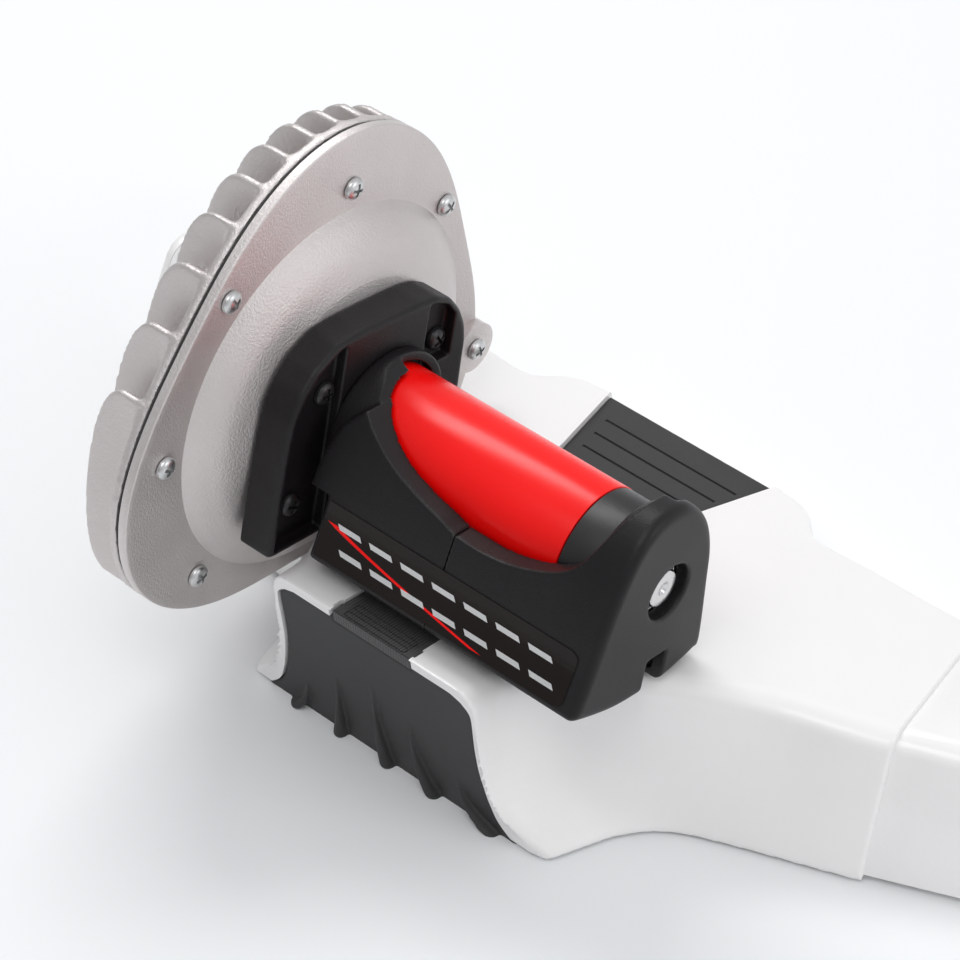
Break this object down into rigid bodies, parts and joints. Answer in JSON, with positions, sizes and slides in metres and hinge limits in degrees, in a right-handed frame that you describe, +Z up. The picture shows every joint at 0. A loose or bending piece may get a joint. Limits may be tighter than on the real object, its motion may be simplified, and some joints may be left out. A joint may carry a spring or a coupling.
{
  "type": "bicycle trainer resistance unit",
  "caption": "Bicycle trainer resistance unit: red drive roller in a black cover, finned round fluid brake at one end, on a white moulded floor base with rubber foot and tread pads.",
  "frame": {"origin": "middle of the bounding box at floor level", "axes": "+X along the roller from the brake towards the end cap, +Y towards the bicycle, +Z up"},
  "size_m": [0.418, 0.241, 0.1995],
  "materials": {
    "white_plastic": "gloss",
    "white_paint": "gloss",
    "black_plastic": "fine matte texture",
    "satin_plastic": "satin",
    "red_sleeve": "gloss",
    "dark_rubber": "matte",
    "cast_aluminium": "satin cast",
    "machined_aluminium": "turned",
    "bright_steel": "bright",
    "zinc_steel": "zinc plated",
    "black_steel": "blackened",
    "gasket_fibre": "matte"
  },
  "bodies": {
    "base": {"base_shell": "white_plastic", "frame_tube_left": "white_paint", "frame_tube_right": "white_paint", "cover_plate_side": "black_plastic", "cover_cap_side": "black_plastic", "mounting_plate": "black_plastic", "tube_plug_left": "black_plastic", "tube_plug_right": "black_plastic", "rear_rubber_foot": "dark_rubber", "tread_strip": "dark_rubber", "deck_pad": "dark_rubber", "front_foot_left": "dark_rubber", "front_foot_right": "dark_rubber", "shaft_seal": "dark_rubber", "brake_flange": "cast_aluminium", "fin_housing": "cast_aluminium", "cap_bearing_outer": "bright_steel", "flange_bearing_outer": "bright_steel", "unit_bracket": "zinc_steel", "bracket_bolt_1": "zinc_steel", "bracket_bolt_2": "zinc_steel", "bracket_bolt_3": "zinc_steel", "bracket_bolt_4": "zinc_steel", "lug_screw": "zinc_steel", "flange_screw_1": "zinc_steel", "flange_screw_2": "zinc_steel", "flange_screw_3": "zinc_steel", "flange_screw_4": "zinc_steel", "flange_screw_5": "zinc_steel", "flange_screw_6": "zinc_steel", "plate_screw_1": "black_steel", "plate_screw_2": "black_steel", "plate_screw_3": "black_steel", "plate_screw_4": "black_steel", "brake_gasket": "gasket_fibre"},
    "roller": {"roller_sleeve": "red_sleeve", "roller_core": "machined_aluminium", "roller_hub_ring": "satin_plastic", "roller_shaft": "bright_steel", "axle_end_bolt": "bright_steel", "cap_bearing_inner": "bright_steel", "flange_bearing_inner": "bright_steel", "impeller": "machined_aluminium", "impeller_nut": "zinc_steel"}
  },
  "joints": [
    {"name": "roller_spin", "type": "hinge", "parent": "base", "child": "roller", "pos_m": [0, -0.0246, 0.1016], "axis": [1, 0, 0], "continuous": true}
  ]
}
